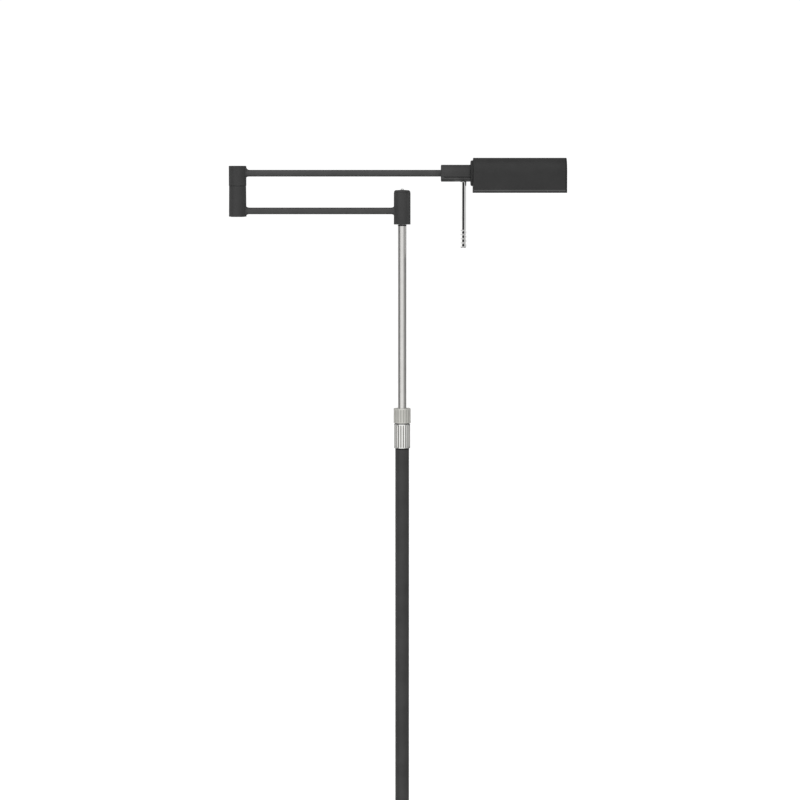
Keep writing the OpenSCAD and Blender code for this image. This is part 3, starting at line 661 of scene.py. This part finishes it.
def make_arms():
    """The lower arm is welded at both ends, the upper one only at the elbow, where its weld climbs."""
    lower_z, upper_z = arm_heights()
    elbow, _, _, x = column_size("elbow_base")
    hub = column_size("hub_body")[0]
    high_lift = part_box("elbow_head")[1].z - upper_z - 6.2 * MM
    make_arm("lower_arm", lower_z, ((x, elbow, 0.0), (0.0, hub, 0.0)))
    make_arm("upper_arm", upper_z, ((x, elbow, high_lift), (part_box("upper_arm")[1].x, None, None)))


# ---------------------------------------------------------------- neck, collar and handle

def make_neck():
    """Sleeve with a lengthwise slit, and the stepped collar disc between it and the shade."""
    low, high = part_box("neck")
    z = (low.z + high.z) / 2
    radius = (high.z - low.z) / 2
    length = high.x - low.x
    hole = 4.35 * MM
    bore = 7 * MM
    wall = 2.2 * MM
    slit_width, slit_depth, slit_at = 1.4 * MM, 3.4 * MM, 28
    sleeve = mesh_object("neck_skin", turned_bmesh(rounded([
        (hole, 0, 0.2 * MM), (radius, 0, 1.1 * MM), (radius, length, 0.25 * MM), (bore, length, 0),
        (bore, wall, 0), (hole, wall, 0), (hole, 0.4 * MM, 0),
    ]), lengthways(low.x, z), BARREL_SEGMENTS, closed=True))
    slit = bmesh.new()
    bmesh.ops.create_cube(slit, size=1.0)
    size = Matrix.Diagonal((length, slit_depth, slit_width, 1))
    start = low.x + wall + MM
    middle = Matrix.Translation((start + length / 2, 0, z)) @ Matrix.Rotation(math.radians(slit_at), 4, "X")
    slit.transform(middle @ Matrix.Translation((0, -radius - 0.7 * MM, 0)) @ size)
    finish_piece(cut(sleeve, mesh_object("slit", slit)), "neck")

    def lip(face):
        """Lower lip of the slit, which takes a painted highlight."""
        y, height = face.center.y, face.center.z - z
        past_slit = math.degrees(math.atan2(-height, -y)) - slit_at
        outside = math.hypot(y, height) > radius - 0.2 * MM
        return 3.5 < past_slit < 10 and outside and face.center.x > start

    # painted highlight on the slit's lower lip
    tone_faces(sleeve, highlight_paint, lip)

    low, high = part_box("collar")
    radius = (high.z - low.z) / 2
    thick = high.x - low.x
    turned("collar", rounded([
        (SHANK_HOLE, thick, 0), (SHANK_HOLE, 0.6 * MM, 0), (9.8 * MM, 0.6 * MM, 0.2 * MM),
        (10.6 * MM, 0, 0.4 * MM), (radius, 0, 1.5 * MM), (radius, thick, 0.2 * MM), (SHANK_HOLE, thick, 0),
    ]), lengthways(low.x, z), BARREL_SEGMENTS)


def make_handle():
    """Round tip, three beads with darker, rougher waists between them that carry painted shade, and the
    polished rod up to the neck.
    """
    low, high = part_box("handle_grip")
    low_rod, high_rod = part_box("handle_rod")
    x = (low.x + high.x) / 2
    grip = (high.x - low.x) / 2
    rod = (high_rod.x - low_rod.x) / 2
    beads = 3
    tip = 5.4 * MM
    waist = 1.2 * MM
    bead = (high.z - low.z - tip - (beads + 1) * waist) / beads
    groove = rod - 0.5 * MM
    steps = 14
    outline = [(0, low.z), *rounded([
        (0, low.z, 0), (grip - 0.2 * MM, low.z, 2.3 * MM), (grip, low.z + 3 * MM, MM),
        (grip - 0.2 * MM, low.z + tip - 0.7 * MM, 0.5 * MM), (groove, low.z + tip, 0),
    ])[1:]]
    foot = low.z + tip
    for _ in range(beads):
        outline.append((groove, foot + waist))
        for k in range(1, steps):
            a = math.pi * k / steps
            bulge = (grip - groove) * math.sin(a)
            outline.append((groove + bulge, foot + waist + (1 - math.cos(a)) / 2 * bead))
        foot += waist + bead
        outline.append((groove, foot))
    outline += [(groove, high.z), (0, high.z)]
    handle = turned("handle_grip", outline, upright(x), 72)
    axis = Vector((x, 0))
    # painted shade in the waists between the beads
    tone_faces(handle, waist_shade_chrome, lambda face: (face.center.xy - axis).length < groove + 0.02 * MM)

    core = 2 * MM
    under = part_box("neck")[0].z
    turned("handle_rod", rounded([
        (0, low_rod.z, 0), (core, low_rod.z, 0.3 * MM), (core, high.z, 0), (rod, high.z, 0.2 * MM),
        (rod, high.z + 0.5 * MM, 0), (rod, under - 0.5 * MM, 0), (rod, under, 0.2 * MM),
        (core, under + 0.1 * MM, 0), (core, high_rod.z, 0.2 * MM), (0, high_rod.z, 0),
    ]), upright(x), 72)


# ---------------------------------------------------------------- shade

def trough(radius, drop, draw=0.0, hem=None):
    """Half of the trough's outline, from the middle of the rim to the roof's top, as (y, z) about the axis.
    The side leans in by draw towards the rim. hem is (bulge, height) of the rolled edge at the rim."""
    points = [(0, -drop)]
    side = radius - draw
    if hem:
        bulge, height = hem
        fold = height - drop
        points += rounded([
            (0, -drop, 0), (side + bulge, -drop, 1.2 * MM), (side + bulge, fold, 0.6 * MM),
            (side, fold + 0.5 * MM, 0.5 * MM), (side, fold + 1.4 * MM, 0), (radius, 0, 0),
        ])[1:]
    else:
        points += [(side, -drop), (radius, 0)]
    steps = 30
    points += [(radius * math.cos(math.pi / 2 * k / steps), radius * math.sin(math.pi / 2 * k / steps))
               for k in range(1, steps + 1)]
    return points


def across_head(name, half, x0, x1, axis_z, round_left=0.0, round_right=0.0):
    """Solid along X: the half outline mirrored, and both end edges rounded by insetting the outline."""
    outline = [*half, *[(-y, z) for y, z in reversed(half[1:-1])]]
    steps = 5

    def end_stations(radius):
        """Pairs (distance from the end, inset) along a rounded edge, from the side to the end's face."""
        if not radius:
            return [(0.0, 0.0)]
        angles = [math.pi / 2 * k / steps for k in range(steps + 1)]
        return [(radius * (1 - math.sin(a)), radius * (1 - math.cos(a))) for a in angles]

    left = [(x0 + along, inset) for along, inset in reversed(end_stations(round_left))]
    right = [(x1 - along, inset) for along, inset in end_stations(round_right)]
    half_width = max(y for y, _ in half)
    bm = bmesh.new()
    rings = []
    for x, inset in left + right:
        shrink = 1 - inset / half_width
        ring = [bm.verts.new((x, y * shrink, axis_z + (z * shrink if z > 0 else z))) for y, z in outline]
        rings.append(ring)
    bridge(bm, rings)
    bm.faces.new(rings[0])
    bm.faces.new(rings[-1])
    return mesh_object(name, bm)


def make_shade():
    """Trough with a half-round roof and a rolled hem, open below, and the end cap with its two screws."""
    low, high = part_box("shade")
    end_low, end_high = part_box("shade_end_cap")
    radius = (high.y - low.y) / 2
    axis_z = high.z - radius
    drop = axis_z - low.z
    sheet = 1.2 * MM
    draw = 0.45 * MM
    hem = (draw, 2 * MM)
    outer = across_head("shade_skin", trough(radius, drop, draw, hem), low.x, high.x - 0.1 * MM, axis_z,
                        0.9 * MM, 0.25 * MM)
    inner_half = trough(radius - sheet, drop + 2 * MM, 0.3 * MM)
    cavity = across_head("cavity", inner_half, low.x + sheet, high.x + 5 * MM, axis_z)
    shade = drill(cut(outer, cavity), SHANK_HOLE, -3 * MM, 5 * MM, lengthways(low.x, axis_z), 64)
    finish_piece(shade, "shade")
    line_hem(shade, low.z, low.z + hem[1], radius - 0.9 * MM)

    plate = across_head("shade_end_cap_skin", trough(radius, drop, draw, hem), end_low.x, end_high.x,
                        axis_z, 0.2 * MM, 0.5 * MM)
    screw_low, screw_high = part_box("end_cap_screws")
    screw_z = (screw_low.z + screw_high.z) / 2
    screw_head = 2.8 * MM
    screw_y = screw_high.y - screw_head
    hole, deep, wide = 1.6 * MM, -20 * MM, screw_head + 0.1 * MM
    countersink = [(0, deep), (hole, deep), (hole, -1.4 * MM), (wide, 0), (wide, 2 * MM), (0, 2 * MM)]
    for side in (-1, 1):
        pocket = turned_bmesh(countersink, lengthways(end_high.x, screw_z, side * screw_y), 48)
        cut(plate, mesh_object("pocket", pocket))
    finish_piece(plate, "shade_end_cap")
    # painted shade: the end cap's edges are near black
    tone_faces(plate, shadow_paint,
               lambda face: abs(face.normal.x) < 0.9 and face.center.x < end_high.x - 0.6 * MM)
    make_end_screws(end_high.x, screw_y, screw_z, screw_high.x - screw_low.x)


def line_hem(shade, rim, hem_top, inside):
    """The hem's rim takes painted shade, and a painted highlight lightens its paint where it meets the
    side.
    """
    def on_side(face, low, high):
        return low < face.center.z < high and abs(face.center.y) > inside
    # painted highlight along the hem's upper edge
    tone_faces(shade, highlight_paint, lambda face: on_side(face, hem_top - 0.1 * MM, hem_top + 1.3 * MM))
    # painted shade along the hem's rim
    tone_faces(shade, shadow_paint, lambda face: on_side(face, rim, rim + 1.1 * MM))


def make_end_screws(face, y, z, length):
    """Two countersunk screws with a hexagon socket, their heads flush with the end cap."""
    shank = 1.5 * MM
    outline = rounded([
        (0, -length, 0), (0.9 * MM, -length, 0.2 * MM), (shank, -length + 1.5 * MM, 0),
        (shank, -1.4 * MM, 0), (2.75 * MM, -0.15 * MM, 0.1 * MM), (2.7 * MM, -0.02 * MM, 0),
        (1.1 * MM, -0.02 * MM, 0.05 * MM), (MM, -1.1 * MM, 0), (0, -1.15 * MM, 0),
    ])
    bm = bmesh.new()
    for side in (-1, 1):
        one = turned_bmesh(outline, lengthways(face, z, side * y), 60, hexagon(1.2 * MM, -1.2 * MM))
        mesh = bpy.data.meshes.new("screw")
        one.to_mesh(mesh)
        one.free()
        bm.from_mesh(mesh)
        bpy.data.meshes.remove(mesh)
    finish_piece(mesh_object("end_cap_screws_skin", bm), "end_cap_screws")


def make_diffuser():
    """Opal panel with softened edges and shallow ribs along its lower face."""
    low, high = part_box("diffuser")
    axis_z = (low.z + high.z) / 2
    half_width = high.y
    half_thick = (high.z - low.z) / 2
    ribs = 20
    rib_depth = 0.22 * MM
    bm = bmesh.new()
    lower = []
    for k in range(ribs * 4 + 1):
        y = -half_width + 0.5 * MM + (2 * half_width - MM) * k / (ribs * 4)
        lower.append((y, -half_thick + rib_depth * math.sin(math.pi * k / 4) ** 2))
    upper = [(half_width, -half_thick + 0.5 * MM), (half_width, half_thick - 0.3 * MM),
             (half_width - 0.3 * MM, half_thick), (-half_width + 0.3 * MM, half_thick),
             (-half_width, half_thick - 0.3 * MM), (-half_width, -half_thick + 0.5 * MM)]
    outline = lower + upper
    ends = [(low.x, 0.85), (low.x + 0.3 * MM, 1.0), (high.x - 0.3 * MM, 1.0), (high.x, 0.85)]
    rings = [[bm.verts.new((x, y, axis_z + z * share)) for y, z in outline] for x, share in ends]
    bridge(bm, rings)
    bm.faces.new(rings[0])
    bm.faces.new(rings[-1])
    finish_piece(mesh_object("diffuser_skin", bm, 50), "diffuser")


# ---------------------------------------------------------------- carried-over CAD nodes

BEVELLED = ("base_nut", "hub_nut", "elbow_nut", "shade_nut", "board_screws", "heat_sink",
            "reflector", "led_board")


def dress_cad_nodes():
    """Every CAD node takes its slot's material; nuts and edges that show get a fine bevel."""
    for name, node in frame["nodes"].items():
        node.data.materials.clear()
        node.data.materials.append(finish_of(name))
        if name in BEVELLED:
            bevel = node.modifiers.new("edge", "BEVEL")
            bevel.width = 0.15 * MM
            bevel.segments = 2
            bevel.limit_method = "ANGLE"
            bevel.angle_limit = math.radians(40)


# ---------------------------------------------------------------- studio

def make_floor():
    """Pale seamless floor, far wider than any view."""
    bm = bmesh.new()
    bmesh.ops.create_circle(bm, cap_ends=True, radius=60.0, segments=SEGMENTS)
    floor = mesh_object("studio_floor", bm)
    material, shader = new_material("studio_floor", (0.97, 0.97, 0.97), 0.7)
    shader.inputs["Specular IOR Level"].default_value = 0.1
    vary_roughness(material, shader, noise(material, 3), 0.65, 0.8)
    floor.data.materials.append(material)
    floor.location.z = -0.2 * MM
    floor.visible_glossy = False
    floor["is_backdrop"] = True


def make_screen(name, tone, x, bearings, low, high):
    """Curved card about an upright axis at x, seen only in reflections: it glows by tone, or is dark at 0.
    The bearings count in degrees from the viewer's side, positive to the right."""
    radius = 10 * MM
    steps = 12
    first, last = bearings
    bm = bmesh.new()
    columns = []
    for k in range(steps + 1):
        a = math.radians(-90 + first + (last - first) * k / steps)
        across, deep = x + radius * math.cos(a), radius * math.sin(a)
        columns.append([bm.verts.new((across, deep, z)) for z in (low, high)])
    for one, two in zip(columns, columns[1:]):
        bm.faces.new([one[0], two[0], two[1], one[1]])
    screen = mesh_object(name, bm)
    material, shader = new_material(name, (0.02, 0.02, 0.02), 1.0)
    shader.inputs["Specular IOR Level"].default_value = 0
    shader.inputs["Emission Color"].default_value = (1, 1, 1, 1)
    shader.inputs["Emission Strength"].default_value = tone
    screen.data.materials.append(material)
    for way in ("camera", "diffuse", "shadow", "transmission", "volume_scatter"):
        setattr(screen, "visible_" + way, False)
    screen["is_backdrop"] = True


def ramp_node(tree, fac, stops):
    """Grey ramp from (position, level) stops."""
    node = tree.nodes.new("ShaderNodeValToRGB")
    elements = node.color_ramp.elements
    while len(elements) < len(stops):
        elements.new(0.5)
    for element, (position, level) in zip(elements, stops):
        element.position = position
        element.color = (level, level, level, 1)
    tree.links.new(fac, node.inputs["Fac"])
    return node.outputs["Color"]


def make_world():
    """Even white surroundings, which reflections see as a studio: a white front between two dark strips,
    and greys at the sides and the back. Bearings count in degrees from the viewer's side, positive to
    the right."""
    world = bpy.data.worlds.new("studio")
    bpy.context.scene.world = world
    world.use_nodes = True
    tree = world.node_tree
    even = tree.nodes["Background"]
    backdrop = tree.nodes.new("ShaderNodeBackground")
    studio = tree.nodes.new("ShaderNodeBackground")
    for node, strength in ((even, 0.85), (backdrop, 1.05), (studio, 1.3)):
        node.inputs["Color"].default_value = (1, 1, 1, 1)
        node.inputs["Strength"].default_value = strength

    place = tree.nodes.new("ShaderNodeTexCoord")
    turn = tree.nodes.new("ShaderNodeMapping")
    turn.inputs["Rotation"].default_value = (0, 0, math.pi / 2)
    bearing = tree.nodes.new("ShaderNodeTexGradient")
    bearing.gradient_type = "RADIAL"
    tree.links.new(place.outputs["Generated"], turn.inputs["Vector"])
    tree.links.new(turn.outputs["Vector"], bearing.inputs["Vector"])
    around = [
        (-180, 0.22), (-125, 0.38), (-98, 0.55), (-88, 0.5), (-80, 0.1), (-60, 0.1), (-53, 0.95), (-45, 1),
        (20, 1), (36, 0.72), (50, 0.6), (57, 0.2), (66, 0.2), (73, 0.52), (86, 0.5), (96, 0.22), (180, 0.2),
    ]
    stops = [(0.5 + degrees / 360, level) for degrees, level in around]
    sides = ramp_node(tree, bearing.outputs["Fac"], stops)

    split = tree.nodes.new("ShaderNodeSeparateXYZ")
    lift = tree.nodes.new("ShaderNodeMapRange")
    lift.inputs["From Min"].default_value = -1
    tree.links.new(place.outputs["Generated"], split.inputs["Vector"])
    tree.links.new(split.outputs["Z"], lift.inputs["Value"])
    heights = [(0, 0.8), (0.4, 0.95), (0.46, 0.9), (0.5, 0.76), (0.62, 0.8), (0.75, 1), (1, 1)]
    rise = ramp_node(tree, lift.outputs["Result"], heights)

    both = tree.nodes.new("ShaderNodeMix")
    both.data_type = "RGBA"
    both.blend_type = "MULTIPLY"
    both.inputs["Factor"].default_value = 1
    tree.links.new(sides, both.inputs["A"])
    tree.links.new(rise, both.inputs["B"])
    tree.links.new(both.outputs["Result"], studio.inputs["Color"])

    path = tree.nodes.new("ShaderNodeLightPath")
    choose = tree.nodes.new("ShaderNodeMixShader")
    tree.links.new(path.outputs["Is Glossy Ray"], choose.inputs["Fac"])
    tree.links.new(even.outputs["Background"], choose.inputs[1])
    tree.links.new(studio.outputs["Background"], choose.inputs[2])
    show = tree.nodes.new("ShaderNodeMixShader")
    tree.links.new(path.outputs["Is Camera Ray"], show.inputs["Fac"])
    tree.links.new(choose.outputs["Shader"], show.inputs[1])
    tree.links.new(backdrop.outputs["Background"], show.inputs[2])
    tree.links.new(show.outputs["Shader"], tree.nodes["World Output"].inputs["Surface"])


def make_key_light():
    """Wide soft key from above, in front and to the left, for soft shadows on the floor."""
    key = bpy.data.lights.new("key_light", "SUN")
    key.energy = 1.1
    key.angle = math.radians(50)
    light = bpy.data.objects.new("key_light", key)
    light.rotation_euler = Vector((0.35, 0.45, -1)).to_track_quat("-Z", "Y").to_euler()
    light.visible_glossy = False
    bpy.context.scene.collection.objects.link(light)


def make_studio():
    """World, floor, key light, and the cards that the handle mirrors."""
    bpy.context.scene.view_settings.view_transform = "Standard"
    make_world()
    make_floor()
    make_key_light()
    x = sum(p.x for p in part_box("handle_rod")) / 2
    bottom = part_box("handle_grip")[0].z - 3 * MM
    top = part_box("neck")[0].z
    for name, tone, bearings in (("left_screen", 1.15, (-170, -32)), ("dark_screen", 0, (-32, 23)),
                                 ("right_screen", 0.58, (23, 80)), ("far_screen", 0.95, (80, 170))):
        make_screen(name, tone, x, bearings, bottom, top)


def make_camera():
    """The viewer stands 3.4 m in front, level with the head, and looks slightly down."""
    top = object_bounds()[1].z
    middle = -0.0026
    distance = 3.4
    eye_drop, target_drop = 0.038, 0.2905
    eye = Vector((middle, -distance, top - eye_drop))
    target = Vector((middle, 0, top - target_drop))
    view_width = 0.963
    film_width = 36
    lens = bpy.data.cameras.new("camera")
    lens.sensor_width = film_width
    lens.lens = film_width * (target - eye).length / view_width
    camera = bpy.data.objects.new("camera", lens)
    camera.location = eye
    camera.rotation_euler = (target - eye).to_track_quat("-Z", "Y").to_euler()
    bpy.context.scene.collection.objects.link(camera)
    bpy.context.scene.camera = camera


dress_cad_nodes()
make_foot()
make_column()
make_barrels()
make_arms()
make_neck()
make_handle()
make_shade()
make_diffuser()
make_studio()
make_camera()
